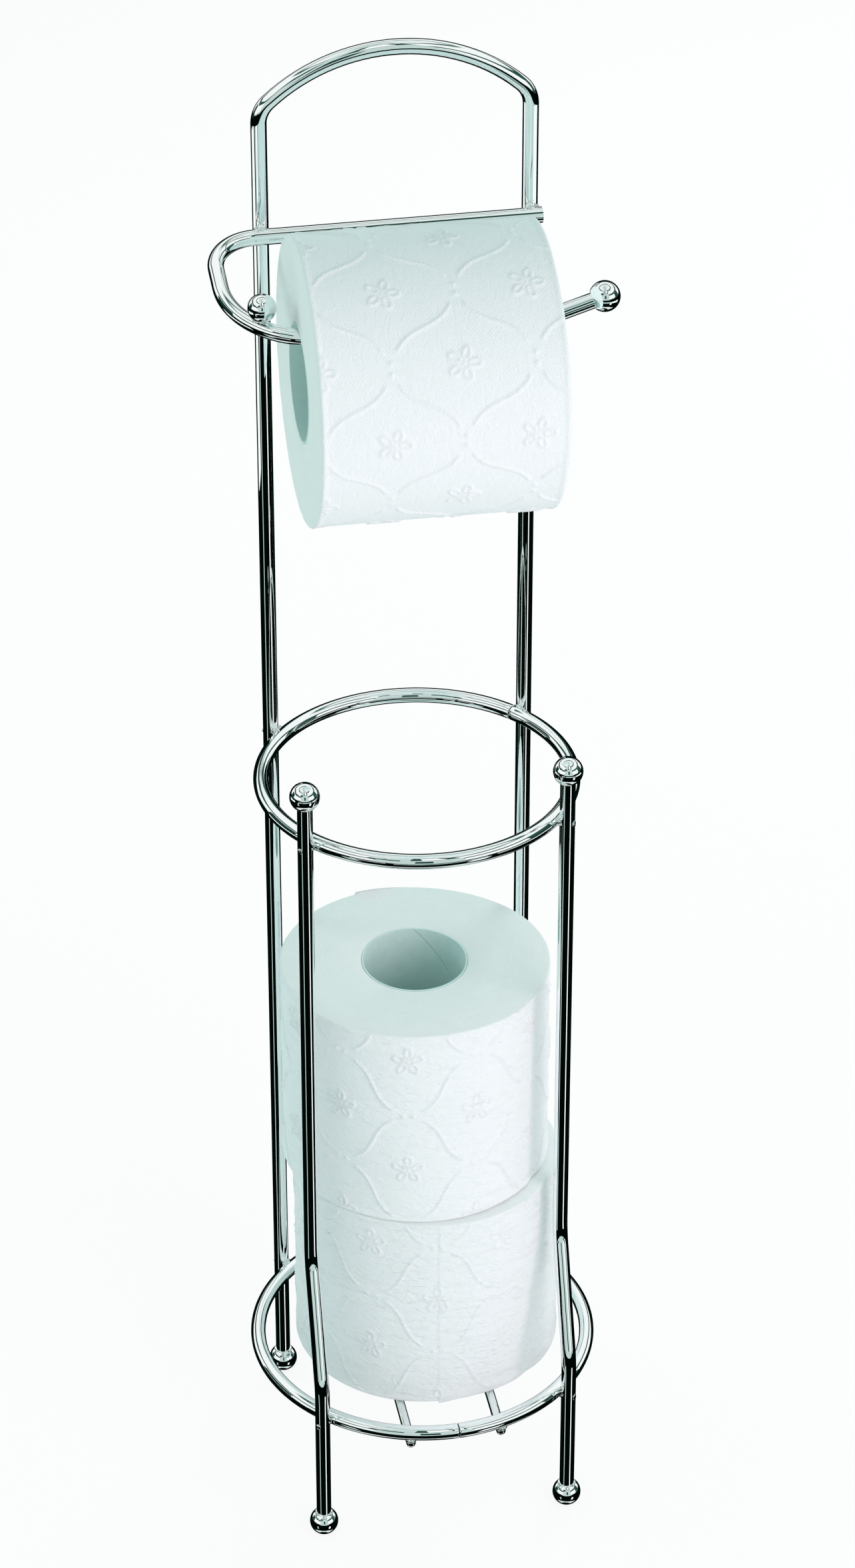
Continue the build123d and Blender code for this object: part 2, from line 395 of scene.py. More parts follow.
def make_front_leg(word):
    """One front leg, from the cap ball's socket down to the foot ball's socket."""
    low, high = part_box(f"front_leg_{word}")
    x = (low.x + high.x) / 2
    upper_y = high.y - TUBE_R
    foot_y = low.y + TUBE_R
    points = [
        (x, upper_y, high.z),
        (x, upper_y, STEP_TOP_Z),
        (x, foot_y, STEP_BOTTOM_Z),
        (x, foot_y, low.z),
    ]
    bm = bmesh.new()
    first, last = follow(bm, points, (STEP_BEND_R, STEP_BEND_R))
    close_end(bm, first)
    close_end(bm, last)
    finish_piece(bm, f"front_leg_{word}_tube", upright_chrome, "stand", "chrome", f"front_leg_{word}")


for word in ("left", "right"):
    make_front_leg(word)

# %% [markdown]
# ## The roll arm
# The arm is welded across the rear legs, turns forward at the left in two wide bends, and comes
# back to the right as the run that the roll hangs on. Its slope runs down to the front. Its tip
# turns up a little so that the roll can't slide off. The cut end at the right is left open.

# %% Make the roll arm
ARM_REAR_BEND_R = 0.018
ARM_FRONT_BEND_R = 0.0348
ARM_TIP_BEND_R = 0.014
ARM_TIP_ANGLE = math.radians(17.5)
ARM_TIP_LENGTH = 0.0252
ARM_DROP = 0.014
ARM_BACK_END = 0.0006
SOCKET_FLOOR = 0.001
OPEN_END_DEPTH = 0.012


def open_end(bm, edges, way):
    """Leaves a tube end open: its wall shows as a narrow rim round a dark hollow."""
    face = close_end(bm, edges)
    bmesh.ops.inset_individual(bm, faces=[face], thickness=TUBE_WALL, depth=0.0)
    made = bmesh.ops.extrude_discrete_faces(bm, faces=[face])
    bmesh.ops.translate(bm, verts=made["faces"][0].verts[:], vec=Vector(way) * OPEN_END_DEPTH)


def make_roll_arm():
    """The arm, drawn from its cut end at the right to the end ball."""
    low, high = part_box("roll_arm")
    ball = box_centre("arm_end_ball")
    left_x, back_y, front_y = low.x + TUBE_R, high.y - TUBE_R, low.y + TUBE_R
    front_z = low.z + TUBE_R
    back_z = front_z + ARM_DROP
    tip_way = Vector((math.cos(ARM_TIP_ANGLE), 0, math.sin(ARM_TIP_ANGLE)))
    corner = Vector((ball.x, front_y, ball.z)) - tip_way * ARM_TIP_LENGTH
    corner.z = front_z
    points = [
        (LEG_X + TUBE_R + ARM_BACK_END, back_y, back_z),
        (left_x, back_y, back_z),
        (left_x, front_y, front_z),
        corner,
        corner + tip_way * (ARM_TIP_LENGTH - SOCKET_FLOOR),
    ]
    bm = bmesh.new()
    first, last = follow(bm, points, (ARM_REAR_BEND_R, ARM_FRONT_BEND_R, ARM_TIP_BEND_R))
    open_end(bm, first, (-1, 0, 0))
    close_end(bm, last)
    finish_piece(bm, "roll_arm_tube", round_chrome, "stand", "chrome", "roll_arm")


make_roll_arm()

# %% [markdown]
# ## The rings
# A ring is a straight tube rolled round until its two ends meet. They are butted, not fused, so
# a fine dark joint shows. The section is spun through almost a full turn, and its closed ends get
# a small rounded edge, which makes the joint a narrow groove.

# %% Make the rings
RING_STEPS = 160
RING_SEAM = 0.0004
SEAM_EDGE_R = 0.00035
BASE_SEAM_ANGLE = math.radians(-88.0)
TOP_SEAM_ANGLE = math.radians(41.0)


def level(angle):
    """Level unit vector at an angle from +X."""
    return Vector((math.cos(angle), math.sin(angle), 0.0))


def ring_path(node):
    """A ring's centre, and the radius of its tube's centre line."""
    return box_centre(node), box_size(node).x / 2 - TUBE_R


def make_ring(node, seam_angle):
    """One rolled ring with its butt joint."""
    centre, ring_r = ring_path(node)
    gap = RING_SEAM / ring_r
    begin = level(seam_angle + gap / 2)
    bm = bmesh.new()
    first = start_tube(bm, centre + begin * ring_r, begin.cross((0, 0, -1)))
    last = picked(spin(bm, first, math.tau - gap, RING_STEPS, centre), EDGE)
    close_end(bm, first)
    close_end(bm, last)
    round_off(bm, first + last, SEAM_EDGE_R, 3)
    finish_piece(bm, f"{node}_tube", round_chrome, "stand", "chrome", node)


make_ring("base_ring", BASE_SEAM_ANGLE)
make_ring("top_ring", TOP_SEAM_ANGLE)

# %% [markdown]
# ## The base bars
# Two thinner wires run from front to back under the base ring and carry the spare rolls. A wire
# is cropped and tumbled before plating, so its ends are rounded.

# %% Make the base bars
BAR_SIDES = 28
BAR_TIP_R = 0.0016


def make_base_bar(word):
    """One wire, from its front tip to its back tip."""
    low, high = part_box(f"base_bar_{word}")
    middle = (low + high) / 2
    bar_r = (high.z - low.z) / 2
    bm = bmesh.new()
    first = start_tube(bm, (middle.x, low.y, middle.z), (0, 1, 0), bar_r, BAR_SIDES)
    last = run(bm, first, (0, high.y - low.y, 0))
    close_end(bm, first)
    close_end(bm, last)
    round_off(bm, first + last, BAR_TIP_R, 6)
    finish_piece(bm, f"base_bar_{word}_wire", round_chrome, "stand", "chrome", f"base_bar_{word}")


for word in ("left", "right"):
    make_base_bar(word)

# %% [markdown]
# ## The balls
# A ball is turned with a socket and pressed on the tube. Where the tube enters there is a flat
# land with a rounded edge, not a knife edge. The half outline is drawn by spinning one vertex in
# a plane, and that outline is then spun about the tube's axis. A foot is flat where it stands.

# %% Make the balls
BALL_STEPS = 56
LAND_WIDTH = 0.0007
LAND_DROP = 0.00025


def outline_arc(bm, radius, from_angle, to_angle, steps):
    """An arc of edges in the XZ plane about the origin, with angles from +X. Gives its two ends."""
    start = bm.verts.new((radius * math.cos(from_angle), 0, radius * math.sin(from_angle)))
    made = spin(bm, [start], to_angle - from_angle, steps, axis=(0, -1, 0))
    return start, picked(made, VERT)[0]


def outline_to(bm, vert, x, z):
    """Draws the outline on from its end to a new point."""
    made = bmesh.ops.extrude_vert_indiv(bm, verts=[vert])["verts"][0]
    made.co = (x, 0, z)
    return made


def make_ball(node, centre, radius, tube_way=None, flat=0.0):
    """A ball of revolution about its tube's way, with a land round the tube's socket."""
    bm = bmesh.new()
    foot_angle = -math.asin((radius - flat) / radius)
    mouth_angle = math.acos((TUBE_R + LAND_WIDTH) / radius) if tube_way else math.pi / 2
    start, end = outline_arc(bm, radius, foot_angle, mouth_angle, BALL_STEPS // 2)
    if flat:
        outline_to(bm, start, 0, start.co.z)
    if tube_way:
        land_z = end.co.z - LAND_DROP
        lip = outline_to(bm, end, TUBE_R, land_z)
        outline_to(bm, lip, 0, land_z)
    spin(bm, whole(bm), math.tau, BALL_STEPS, use_merge=True)
    place = Matrix.Translation(centre) @ facing(tube_way or (0, 0, 1))
    bmesh.ops.transform(bm, matrix=place, verts=bm.verts)
    finish_piece(bm, f"{node}_turned", ball_chrome, "stand", "chrome", node)


for word in ("left", "right"):
    for end in ("front", "rear"):
        foot = box_centre(f"foot_ball_{end}_{word}")
        make_ball(f"foot_ball_{end}_{word}", (foot.x, foot.y, FOOT_Z), BALL_R, (0, 0, 1), FOOT_FLAT)
    cap = box_centre(f"cap_ball_{word}")
    cap_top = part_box(f"cap_ball_{word}")[1].z
    make_ball(f"cap_ball_{word}", (cap.x, cap.y, cap_top - BALL_R), BALL_R, (0, 0, -1))

end_ball = box_centre("arm_end_ball")
end_ball.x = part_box("arm_end_ball")[1].x - BALL_R
make_ball("arm_end_ball", end_ball, BALL_R, (-math.cos(ARM_TIP_ANGLE), 0, -math.sin(ARM_TIP_ANGLE)))
make_ball("arm_stop_ball", box_centre("arm_stop_ball"), box_size("arm_stop_ball").x / 2)

# %% [markdown]
# ## The welds
# The tubes are only pressed and fused where they touch, so each joint has a small squeezed lens
# of metal in the groove, a few specks beside it, and no neat bead. Each lens is a round mesh
# flattened along the line between the two tubes, with lumps from noise. The noise reads places
# on the stand, so no two welds are the same, and every run gives the same ones. At the rings the
# electrode also leaves a small flat bump on the far side of each leg.

# %% Make the welds
LENS_R = 0.0027
LENS_THICKNESS = 0.0013
LUMP_SIZE = 620.0
LUMP_HEIGHT = 0.00045
SPECK_R = 0.0007
SPECK_ASIDE = 0.9
SPECK_UP = 0.6
MARK_R = 0.0012
MARK_THICKNESS = 0.0003
MARK_SINK = 0.00012


def add_lump(bm, centre, way, radius, thickness):
    """One lens of weld metal, flattened along a way."""
    place = Matrix.Translation(centre) @ facing(way) @ Matrix.Diagonal((radius, radius, thickness, 1))
    made = bmesh.ops.create_icosphere(bm, subdivisions=4, radius=1.0, matrix=place)
    for vert in made["verts"]:
        out = (vert.co - Vector(centre)).normalized()
        vert.co += out * noise.noise(vert.co * LUMP_SIZE) * LUMP_HEIGHT


def make_welds(name, joints, with_marks=False):
    """All welds of one part: a lens and two specks at each joint, and the electrode's marks."""
    bm = bmesh.new()
    for centre, way in joints:
        add_lump(bm, centre, way, LENS_R, LENS_THICKNESS)
        if with_marks:
            mark = Vector(centre) + Vector(way) * (2 * TUBE_R - MARK_SINK)
            add_lump(bm, mark, way, MARK_R, MARK_THICKNESS)
        across = Vector(way).cross((0, 0, 1)).normalized()
        for side in (-1, 1):
            shift = noise.noise(Vector(centre) * LUMP_SIZE + Vector((side, 0, 0)))
            aside = across * side * (LENS_R * SPECK_ASIDE)
            speck = Vector(centre) + aside + Vector((0, 0, LENS_R * (SPECK_UP + shift)))
            add_lump(bm, speck, way, SPECK_R, SPECK_R)
    finish_piece(bm, name, weld_metal, "stand", "chrome")


def ring_joints(node):
    """Where a ring touches the four legs, with the way out from its centre."""
    centre, ring_r = ring_path(node)
    joints = []
    for side in (-1, 1):
        for leg_y in (REAR_Y, box_centre("cap_ball_left").y if node == "top_ring" else -REAR_Y):
            way = (Vector((side * LEG_X, leg_y, centre.z)) - centre).normalized()
            joints.append((centre + way * (ring_r + TUBE_R), way))
    return joints


def bar_joints():
    """Where the base bars cross under the base ring."""
    centre, ring_r = ring_path("base_ring")
    joints = []
    for word in ("left", "right"):
        x = box_centre(f"base_bar_{word}").x
        reach = math.sqrt(ring_r**2 - x**2)
        joints += [(Vector((x, side * reach, centre.z - TUBE_R)), (0, 0, 1)) for side in (-1, 1)]
    return joints


arm_back_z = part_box("roll_arm")[1].z - TUBE_R
weld_y = (REAR_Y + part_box("roll_arm")[1].y - TUBE_R) / 2
make_welds("top_ring_welds", ring_joints("top_ring"), True)
make_welds("base_ring_welds", ring_joints("base_ring"), True)
make_welds("arm_welds", [((side * LEG_X, weld_y, arm_back_z), (0, 1, 0)) for side in (-1, 1)])
make_welds("bar_welds", bar_joints())

# %% [markdown]
# ## Toilet paper
# The sheets are two soft plies, pressed together between an engraved roller and a rubber one.
# What shows is a raised line pattern, a fine slanted crepe between the lines, and the plain
# matt fibre. The lines are modelled. The crepe is far finer, so it stays in the material as a
# bump, and so do the rows of perforations, one a sheet apart, whose slits are half a millimetre
# wide. The slits are also darkened in the paper's colour, which is painted shade in the cuts.
# Both run with the sheet: the UV map of each roll gives metres around the roll and along it.

# %% Make the crepe group and the paper
PAPER_COLOUR = (0.86, 0.875, 0.895)
PAPER_DEEP = (0.80, 0.83, 0.845)
CREPE_REACH = 0.00016
CREPE_PITCH = 0.00105
CREPE_SLANT = -0.75
RIB_WARP_SCALE = 300.0
RIB_WARP = 1.4
FIBRE_SCALE = 1500.0
FOLD_SCALE = 115.0
FOLD_DISTORTION = 0.8
FOLD_STRETCH = (1.0, 2.6, 1.0)
FOLD_SLANT = (0.0, 0.0, 0.35)
SHEET_LENGTH = 0.12
SLIT_HALF_WIDTH = 0.00025
SLIT_PERIOD = 0.004
BRIDGE_SHARE = 0.18
SLIT_SHARE = 0.15


def make_crepe_group():
    """Slanted crepe ribs broken up by fibre, and rows of slits with painted shade in them, on a UV map
    in metres.
    """
    numbers = ("Ribs", "Wrinkles", "First Slits")
    group, enter, leave = new_group("crepe", numbers, ("Height", "Shade"))
    sheet_place = enter.outputs["Vector"]

    inputs = {"Vector": sheet_place, "Angle": CREPE_SLANT}
    turned = node_in(group, "ShaderNodeVectorRotate", inputs, rotation_type="Z_AXIS")
    split = node_in(group, "ShaderNodeSeparateXYZ", {"Vector": turned.outputs[0]})
    warp = noise_in(group, sheet_place, RIB_WARP_SCALE, 2.0)
    across = maths(group, "DIVIDE", split.outputs["X"], CREPE_PITCH)
    bent = maths(group, "MULTIPLY_ADD", warp.outputs[0], RIB_WARP, across)
    wave = maths(group, "SINE", maths(group, "MULTIPLY", bent, math.tau))
    ribs = maths(group, "MULTIPLY", wave, enter.outputs["Ribs"])
    fibre = noise_in(group, sheet_place, FIBRE_SCALE, 3.0)

    inputs = {"Vector": sheet_place, "Scale": FOLD_STRETCH, "Rotation": FOLD_SLANT}
    drawn = node_in(group, "ShaderNodeMapping", inputs)
    folds = noise_in(group, drawn.outputs[0], FOLD_SCALE, 4.0)
    fill_in(group, folds, {"Distortion": FOLD_DISTORTION})
    crumple = maths(group, "ABSOLUTE", maths(group, "SUBTRACT", folds.outputs[0], 0.5))
    creases = maths(group, "MULTIPLY", crumple, enter.outputs["Wrinkles"])

    plain = node_in(group, "ShaderNodeSeparateXYZ", {"Vector": sheet_place})
    from_first = maths(group, "SUBTRACT", plain.outputs["X"], enter.outputs["First Slits"])
    nearest = maths(group, "PINGPONG", from_first, SHEET_LENGTH / 2)
    on_row = maths(group, "LESS_THAN", nearest, SLIT_HALF_WIDTH)
    along_row = maths(group, "PINGPONG", plain.outputs["Y"], SLIT_PERIOD / 2)
    is_cut = maths(group, "GREATER_THAN", along_row, SLIT_PERIOD * BRIDGE_SHARE)
    # How deep the slits cut, for the bump, and how much darker they are painted, as shade in the cuts.
    depth = maths(group, "MULTIPLY", maths(group, "MULTIPLY", on_row, is_cut), SLIT_SHARE)

    sheet = maths(group, "SUBTRACT", maths(group, "ADD", ribs, fibre.outputs[0]), creases)
    height = maths(group, "SUBTRACT", sheet, depth)
    # The fibre's random tone, darkened in the slits: that darkening is painted shade.
    fibre_tone_and_slit_shade = maths(group, "SUBTRACT", fibre.outputs[0], depth)
    fill_in(group, leave, {"Height": height, "Shade": fibre_tone_and_slit_shade})
    return group


def slits_from(u):
    """Where the first row of slits is for a row seen at u, kept on the map's negative side."""
    return u - SHEET_LENGTH * math.ceil(u / SHEET_LENGTH + 3)


def mixed_colour(tree, factor, first, second):
    """A colour between two, by a factor that varies over the surface."""
    inputs = {"Factor": factor, "A": (*first, 1.0), "B": (*second, 1.0)}
    return node_in(tree, "ShaderNodeMix", inputs, data_type="RGBA").outputs["Result"]


def make_sheet_paper(name, ribs, wrinkles, row_seen_at):
    """The face of the wound sheet, with a row of slits at one known place around it."""
    finish = {"Roughness": 0.92, "Specular IOR Level": 0.2, "Sheen Weight": 0.08}
    material, tree, shader = new_material(name, finish)
    place = node_in(tree, "ShaderNodeUVMap", uv_map="sheet").outputs["UV"]
    inputs = {"Vector": place, "Ribs": ribs, "Wrinkles": wrinkles}
    group = node_in(tree, "ShaderNodeGroup", inputs, node_tree=crepe)
    fill_in(tree, group, {"First Slits": slits_from(row_seen_at)})
    add_bump(tree, shader, group.outputs["Height"], CREPE_REACH)
    # The fibre's tone, with painted shade in the slits, sets the paper's colour.
    colour = mixed_colour(tree, group.outputs["Shade"], PAPER_DEEP, PAPER_COLOUR)
    fill_in(tree, shader, {"Base Color": colour})
    return material


crepe = make_crepe_group()
ribbed_paper = make_sheet_paper("ribbed paper", ribs=0.14, wrinkles=3.0, row_seen_at=-0.0824)
soft_paper = make_sheet_paper("soft paper", ribs=0.12, wrinkles=7.0, row_seen_at=0.043)
rumpled_paper = make_sheet_paper("rumpled paper", ribs=0.12, wrinkles=9.0, row_seen_at=-0.0978)

# %% [markdown]
# ## The cut ends of a roll
# A log of paper is sawn into rolls, so an end shows the edges of many thin layers: fine rings
# about the axis, some of them a little proud, and a slightly furry saw finish. Rings are read
# from the distance to the axis, which a Mapping node moves to the origin. The unit vector round
# the axis lets the rings change slowly on their way round without a seam.

# %% Make the cut paper
CUT_COLOUR = (0.87, 0.89, 0.89)
CUT_DEEP = (0.80, 0.83, 0.83)
CUT_REACH = 0.00022
RING_FINENESS = 1100.0
RING_CHANGE = 1.3
RING_SHARE = 0.35
FUZZ_SCALE = 900.0
FUZZ_SHARE = 0.6
MOTTLE_SCALE = 150.0


def make_cut_paper(name, centre, lying):
    """The sawn end of one roll, whose axis is X if it lies and Z if it stands."""
    finish = {"Roughness": 0.95, "Specular IOR Level": 0.15}
    material, tree, shader = new_material(name, finish)
    place = node_in(tree, "ShaderNodeTexCoord").outputs["Object"]
    keep = (0.0, 1.0, 1.0) if lying else (1.0, 1.0, 0.0)
    to_axis = [-c * k for c, k in zip(centre, keep)]
    inputs = {"Vector": place, "Scale": keep, "Location": to_axis}
    flat = node_in(tree, "ShaderNodeMapping", inputs).outputs[0]
    reach = node_in(tree, "ShaderNodeVectorMath", {0: flat}, operation="LENGTH")
    unit = node_in(tree, "ShaderNodeVectorMath", {0: flat}, operation="NORMALIZE")
    layers = noise_in(tree, unit.outputs[0], RING_CHANGE, 3.0, noise_dimensions="4D")
    fill_in(tree, layers, {"W": maths(tree, "MULTIPLY", reach.outputs["Value"], RING_FINENESS)})
    fuzz = noise_in(tree, place, FUZZ_SCALE, 3.0)
    both = maths(tree, "MULTIPLY_ADD", fuzz.outputs[0], FUZZ_SHARE, layers.outputs[0])
    add_bump(tree, shader, both, CUT_REACH)
    mottle = noise_in(tree, place, MOTTLE_SCALE, 4.0)
    rings = maths(tree, "MULTIPLY", layers.outputs[0], RING_SHARE)
    blend = maths(tree, "MULTIPLY_ADD", mottle.outputs[0], 1.0 - RING_SHARE, rings)
    fill_in(tree, shader, {"Base Color": mixed_colour(tree, blend, CUT_DEEP, CUT_COLOUR)})
    return material


# %% [markdown]
# ## The embossed pattern
# The pattern is an ogee lattice, an old wallpaper form: two families of wavy lines cross and
# leave pointed ovals, with a blossom of five separate petals in each. The lines stop short of
# each crossing, where two dots sit. A roll is unrolled in thought to a plane of metres around and
# along. Two slanting counts, one per family of lines, turn that plane into a square grid, so the
# whole pattern is worked out from the distance to the nearest line, dot or petal.

# %% Work out the relief
PATTERN_ALONG = 0.056
CELLS_ROUND = 6
LINE_HALF_WIDTH = 0.00055
RELIEF = 0.0007
WAVE_DEPTH = 0.07
CROSSING_GAP = 0.13
CROSSING_FADE = 0.04
CROSSING_DOT_AWAY = 0.0022
CROSSING_DOT_R = 0.0009
BLOSSOM_DOT_R = 0.0010
PETALS = 5
PETAL_START = 0.25
PETAL_AWAY = 0.0043
PETAL_LONG = 0.0024
PETAL_WIDE = 0.0014


def soft_ridge(distance, half_width):
    """A rounded ridge: 1 on its line, falling to 0 on both sides."""
    return np.exp(-((distance / half_width) ** 2))


def wavy_line(count, other, cell):
    """Height of one family of lines, which lie where its count is a whole number and a half."""
    off = count - WAVE_DEPTH * np.sin(math.tau * other)
    distance = np.abs(off - np.floor(off) - 0.5) * cell
    to_crossing = np.abs(other - np.floor(other) - 0.5)
    open_part = np.clip((to_crossing - CROSSING_GAP) / CROSSING_FADE, 0.0, 1.0)
    return soft_ridge(distance, LINE_HALF_WIDTH) * open_part


def petal(x, y, turn):
    """Height of one petal's outline, an ellipse that points away from the blossom's middle."""
    long_way = x * math.cos(turn) + y * math.sin(turn) - PETAL_AWAY
    wide_way = y * math.cos(turn) - x * math.sin(turn)
    size = np.maximum(np.hypot(long_way / PETAL_LONG, wide_way / PETAL_WIDE), 1e-6)
    slope = np.hypot(long_way / PETAL_LONG**2, wide_way / PETAL_WIDE**2) / size
    return soft_ridge((size - 1.0) / slope, LINE_HALF_WIDTH)


def emboss(around, along, around_length):
    """Height from 0 to 1 of the pressed pattern at points around and along a roll."""
    cell_round = around_length / CELLS_ROUND
    a = along / PATTERN_ALONG + around / cell_round
    b = along / PATTERN_ALONG - around / cell_round
    cell = 1.0 / math.hypot(1.0 / PATTERN_ALONG, 1.0 / cell_round)
    height = np.maximum(wavy_line(a, b, cell), wavy_line(b, a, cell))
    near_a, near_b = a - np.round(a), b - np.round(b)
    x = (near_a - near_b) / 2 * cell_round
    y = (near_a + near_b) / 2 * PATTERN_ALONG
    for index in range(PETALS):
        height = np.maximum(height, petal(x, y, math.tau * (index + PETAL_START) / PETALS))
    height = np.maximum(height, soft_ridge(np.hypot(x, y), BLOSSOM_DOT_R))
    far_a, far_b = a - np.floor(a) - 0.5, b - np.floor(b) - 0.5
    cross_x = (far_a - far_b) / 2 * cell_round
    cross_y = (far_a + far_b) / 2 * PATTERN_ALONG
    for side in (-1, 1):
        dot = np.hypot(cross_x - side * CROSSING_DOT_AWAY, cross_y)
        height = np.maximum(height, soft_ridge(dot, CROSSING_DOT_R))
    return height


# %% [markdown]
# ## Winding a roll
# A roll's half section is a rectangle with soft corners. It is spun about the axis to a dense
# grid, and numpy then moves the grid's points: in by the relief's height wherever the pattern
# isn't, and a little in and out over wide areas, because a soft roll that has been handled is
# never quite round. The last sheet ends in a step at the tail's angle, where its corner curls.
# One roll is wound the other way round, and its core is pressed a little oval.

# %% Make a roll's paper
ROLL_R = 0.059
ROLL_ROWS = 156
ROLL_SECTORS = 14
SECTOR_STEPS = 40
END_RINGS = 3
EDGE_R = 0.0014
BORE_EDGE_R = 0.0006
TAIL_STEP = 0.00017
SOFT_DENT = 0.0009
DENT_SHARES = (0.5, 0.35, 0.25)
DENT_TWIST = 2.2
DENT_SINK = 0.9
CREASE_DEPTH = 0.0009
CREASE_HALF_WIDTH = math.radians(4.5)
CURL_REACH = 0.006
CURL_RIM = 0.6
CUT_RIM = 0.3
END_WAVE = 0.00012
END_WAVE_FINENESS = 190


def roll_frame(name, lying):
    """A roll's start on its axis, the turn from Z to its axis, its core's radius and its width."""
    low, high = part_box(f"{name}_core")
    middle, size = (low + high) / 2, high - low
    if lying:
        start, turn = Vector((low.x, middle.y, middle.z)), Matrix.Rotation(math.pi / 2, 4, "Y")
        return start, turn, size.z / 2, high.x - low.x
    start, turn = Vector((middle.x, middle.y, low.z)), Matrix.Identity(4)
    return start, turn, size.x / 2, high.z - low.z


def press_oval(points, inner_r, outer_r, oval):
    """Narrows the bore along X by a share, which fades away towards the outside."""
    reach = np.hypot(points[:, 0], points[:, 1])
    share = np.clip((outer_r / 2 - reach) / (outer_r / 2 - inner_r), 0.0, 1.0)
    points[:, 0] *= 1.0 - oval * share
    return points


def wound_section(bm, inner_r, outer_r, width):
    """The half section of a roll as edges in the XZ plane: bore, end, corner, side, corner, end."""
    corners = [(inner_r, 0), (outer_r, 0), (outer_r, width), (inner_r, width)]
    verts = [bm.verts.new((x, 0, z)) for x, z in corners]
    for index in range(4):
        bm.edges.new((verts[index], verts[(index + 1) % 4]))
    round_off(bm, verts[1:3], EDGE_R, 3, "VERTICES")
    round_off(bm, verts[::3], BORE_EDGE_R, 2, "VERTICES")
    for edge in bm.edges[:]:
        length = edge.calc_length()
        level_edge = abs(edge.verts[0].co.z - edge.verts[1].co.z) < MERGE_DISTANCE
        if length > width / 2:
            outside = edge.verts[0].co.x > inner_r + MERGE_DISTANCE
            cuts = ROLL_ROWS - 1 if outside else 3
            bmesh.ops.subdivide_edges(bm, edges=[edge], cuts=cuts, use_grid_fill=False)
        elif level_edge and length > EDGE_R:
            bmesh.ops.subdivide_edges(bm, edges=[edge], cuts=END_RINGS - 1, use_grid_fill=False)


def spin_in_sectors(bm, sectors, steps):
    """Spins an outline through one sector and copies that sector round, which is much quicker."""
    turn = math.tau / sectors
    spin(bm, whole(bm), turn, steps)
    first = whole(bm)
    for index in range(1, sectors):
        verts = picked(bmesh.ops.duplicate(bm, geom=first)["geom"], VERT)
        bmesh.ops.rotate(bm, verts=verts, cent=(0, 0, 0), matrix=Matrix.Rotation(index * turn, 3, "Z"))
    bmesh.ops.remove_doubles(bm, verts=bm.verts, dist=MERGE_DISTANCE)


def shape_roll(points, outer_r, width, look):
    """Moves the spun grid's points to the relief, the tail's step, the dents and the curled corner."""
    x, y, z = points[:, 0], points[:, 1], points[:, 2]
    reach, angle = np.hypot(x, y), np.arctan2(y, x)
    bulge = look["bulge"]
    past_tail = np.mod((angle - look["tail"]) * look["wound"], math.tau)
    outside = np.clip((reach - outer_r + 4 * EDGE_R) / (4 * EDGE_R), 0.0, 1.0)
    inset = np.clip(np.minimum(z, width - z) / (2 * EDGE_R), 0.0, 1.0)
    around = past_tail * outer_r
    height = emboss(around, z, math.tau * outer_r) * look["relief"]
    step = TAIL_STEP * past_tail / math.tau
    slant = look["crease_slant"] * (z / width - 0.5)
    to_crease = np.mod(angle - look["crease"] - slant + math.pi, math.tau) - math.pi
    step += CREASE_DEPTH * soft_ridge(to_crease, CREASE_HALF_WIDTH)
    twofold, threefold, fivefold = DENT_SHARES
    dents = SOFT_DENT * (
        np.sin(2 * angle + bulge) * twofold
        + np.sin(3 * angle - 2 * bulge + z / width * DENT_TWIST) * threefold
        + np.sin(5 * angle + bulge * 3) * np.cos(z / width * math.pi) * fivefold
        - DENT_SINK
    )
    flat = look["flat"] * np.clip(np.cos(angle - look["flat_at"]), 0.0, 1.0) ** 4
    out = outside * (dents - flat - step + RELIEF * (height - 1.0) * inset)
    points[:, 0] += x / np.maximum(reach, 1e-6) * out
    points[:, 1] += y / np.maximum(reach, 1e-6) * out
    ends = np.sin(angle * 2 + reach * END_WAVE_FINENESS + bulge) * END_WAVE
    on_end = (inset == 0) & (reach < outer_r - EDGE_R)
    points[:, 2] += np.where(on_end, ends, 0.0)
    curl = look["curl"]
    fade = np.clip(1.0 - past_tail / look["curl_span"], 0.0, 1.0)
    at_rim = np.clip((reach - outer_r + EDGE_R) / (EDGE_R * CURL_RIM), 0.0, 1.0)
    to_end = width - z if curl > 0 else z
    points[:, 2] += curl * fade * at_rim * np.clip(1.0 - to_end / CURL_REACH, 0.0, 1.0)
    return points


def read_values(items, name, width):
    """Reads one property of all items of a mesh into a numpy table."""
    values = np.empty(len(items) * width, dtype=np.int32 if width == 1 else np.float64)
    items.foreach_get(name, values)
    return values.reshape(-1, width) if width > 1 else values


def lay_sheet_map(mesh, points, inner_r, outer_r, width):
    """Maps the sheet in metres around and along, and gives the sawn ends the second material."""
    starts = read_values(mesh.polygons, "loop_start", 1)
    sizes = read_values(mesh.polygons, "loop_total", 1)
    corners = read_values(mesh.loops, "vertex_index", 1)
    owner = np.repeat(np.arange(len(starts)), sizes)
    sums = np.zeros((len(starts), 3))
    np.add.at(sums, owner, points[corners])
    middles = sums / sizes[:, None]
    middle_angle = np.arctan2(middles[:, 1], middles[:, 0])[owner]
    angle = np.arctan2(points[corners, 1], points[corners, 0])
    near = middle_angle + np.mod(angle - middle_angle + math.pi, math.tau) - math.pi
    layer = mesh.uv_layers.new(name="sheet")
    layer.data.foreach_set("uv", np.column_stack((near * outer_r, points[corners, 2])).ravel())
    at_end = np.minimum(middles[:, 2], width - middles[:, 2]) < EDGE_R * CUT_RIM
    cut = at_end | (np.hypot(middles[:, 0], middles[:, 1]) < inner_r + BORE_EDGE_R)
    mesh.polygons.foreach_set("material_index", cut.astype(np.int32))


